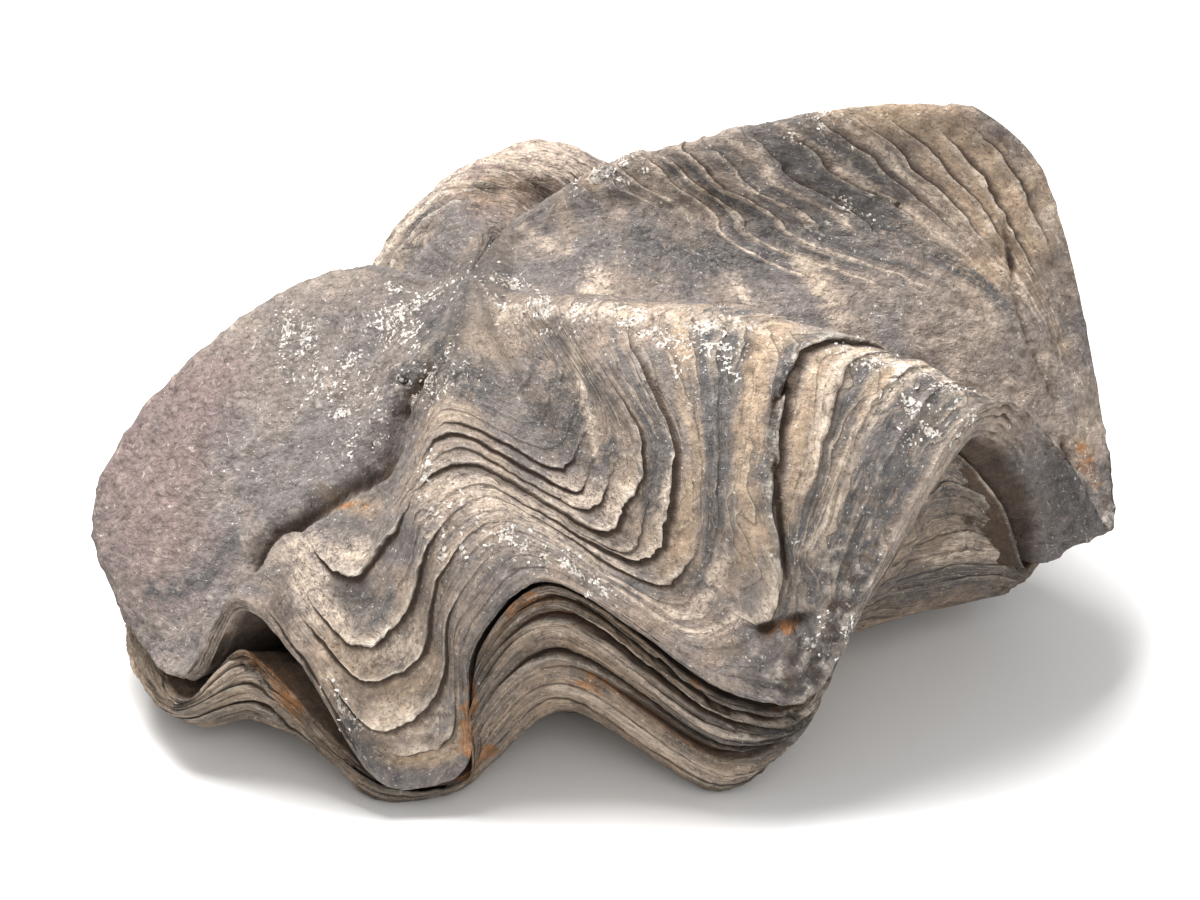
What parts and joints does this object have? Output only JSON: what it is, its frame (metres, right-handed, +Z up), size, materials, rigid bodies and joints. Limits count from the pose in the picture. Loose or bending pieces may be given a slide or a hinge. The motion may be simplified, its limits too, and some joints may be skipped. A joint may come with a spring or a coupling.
{
  "type": "fossil oyster shell",
  "caption": "Closed fossil bivalve shell, turned to stone: a ribbed, ledged upper valve resting zigzag to zigzag on a recessed, layered lower valve.",
  "frame": {"origin": "on the surface it rests on, under the middle of the shell's bounding box", "axes": "+Z up as it lies; +X to the right of the picture's view, along the shell's greatest width; +Y away from the viewer, so the gaping front margin faces -Y"},
  "size_m": [0.2993, 0.208, 0.1548],
  "materials": {
    "upper_valve_stone": "dull weathered limestone, grey with tan and cream growth bands",
    "lower_valve_stone": "dull weathered limestone, brown-grey layers with rust stains in the slits"
  },
  "bodies": {
    "root": {"upper_valve": "upper_valve_stone", "lower_valve": "lower_valve_stone"}
  },
  "joints": []
}
